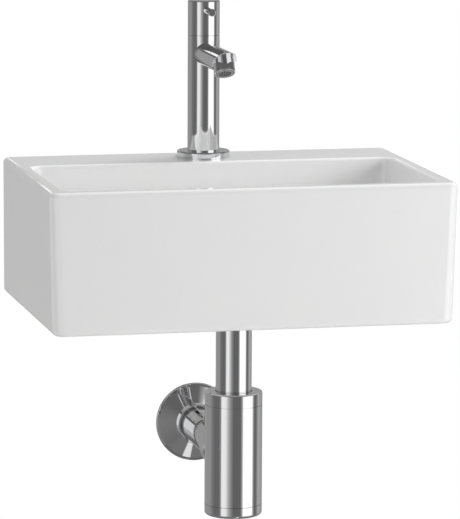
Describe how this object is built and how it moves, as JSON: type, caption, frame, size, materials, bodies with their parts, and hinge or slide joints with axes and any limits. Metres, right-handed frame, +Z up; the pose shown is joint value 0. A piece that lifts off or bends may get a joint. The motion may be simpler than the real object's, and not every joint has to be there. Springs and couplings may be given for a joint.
{
  "type": "wall hung basin",
  "caption": "Small rectangular wall hung ceramic wash basin with a tap shelf, a slim quarter-turn pillar tap, a strainer waste and a cylindrical bottle trap with wall outlet.",
  "frame": {"origin": "on the wall plane, midway between the two wall bolts", "axes": "+Y into the wall, +Z up, +X to the right of someone facing the wall"},
  "size_m": [0.36, 0.31, 0.4477],
  "materials": {
    "glaze": "gloss",
    "chrome": "polished",
    "brass": "satin",
    "steel": "satin",
    "valve_ceramic": "satin",
    "rubber": "matte",
    "plastic": "satin",
    "grey_plastic": "satin"
  },
  "bodies": {
    "basin": {"basin": "glaze", "base_ring": "chrome", "base_seal": "rubber", "tap_body": "chrome", "tap_tail": "brass", "deck_washer_rubber": "rubber", "deck_washer_metal": "steel", "deck_nut": "brass", "cartridge_seal": "rubber", "cartridge_body": "brass", "cartridge_nut": "brass", "fixed_disc": "valve_ceramic", "aerator_housing": "chrome", "aerator_insert": "grey_plastic", "aerator_washer": "rubber", "waste_strainer": "chrome", "waste_screw": "chrome", "waste_top_gasket": "rubber", "waste_bottom_gasket": "rubber", "waste_body": "chrome", "union_washer": "rubber", "union_nut": "chrome", "tail_pipe": "chrome", "wall_bolt_left": "steel", "bolt_bush_left": "plastic", "bolt_washer_left": "steel", "bolt_nut_left": "steel", "wall_bolt_right": "steel", "bolt_bush_right": "plastic", "bolt_washer_right": "steel", "bolt_nut_right": "steel"},
    "handle": {"handle": "chrome", "lever_pin": "chrome", "handle_screw": "steel", "spindle": "brass", "spindle_ring": "rubber", "turning_disc": "valve_ceramic"},
    "gland": {"glide_ring": "plastic", "cone_seal": "rubber"},
    "trap": {"trap_cap": "chrome", "trap_body": "chrome", "outlet_nut": "chrome", "outlet_seal": "rubber"},
    "outlet": {"outlet_pipe": "chrome"},
    "rosette": {"wall_rosette": "chrome", "rosette_grip": "rubber"},
    "cleanout_ring": {"cleanout_seal": "rubber"},
    "cleanout": {"cleanout_cap": "chrome", "weir_tube": "plastic"}
  },
  "joints": [
    {"name": "handle_turn", "type": "hinge", "parent": "basin", "child": "handle", "pos_m": [0, -0.034, 0.1664], "axis": [0, 0, 1], "range_deg": [0, 90]},
    {"name": "trap_height", "type": "slide", "parent": "basin", "child": "gland", "axis": [0, 0, 1], "range_m": [-0.025, 0.008]},
    {"name": "trap_swivel", "type": "hinge", "parent": "gland", "child": "trap", "pos_m": [0, -0.16125, -0.15], "axis": [0, 0, 1], "range_deg": [-90, 90]},
    {"name": "outlet_slide", "type": "slide", "parent": "trap", "child": "outlet", "axis": [0, 1, 0], "range_m": [-0.0055, 0.01]},
    {"name": "rosette_slide", "type": "slide", "parent": "outlet", "child": "rosette", "axis": [0, -1, 0], "range_m": [0, 0.06]},
    {"name": "cleanout_drop", "type": "slide", "parent": "trap", "child": "cleanout_ring", "axis": [0, 0, -1], "range_m": [0, 0.01]},
    {"name": "cleanout_turn", "type": "hinge", "parent": "cleanout_ring", "child": "cleanout", "pos_m": [0, -0.16125, -0.2497], "axis": [0, 0, -1], "range_deg": [0, 1800]}
  ],
  "couplings": [
    {"joint": "cleanout_drop", "follows": "cleanout_turn", "m_per_rad": 0.00031831}
  ]
}
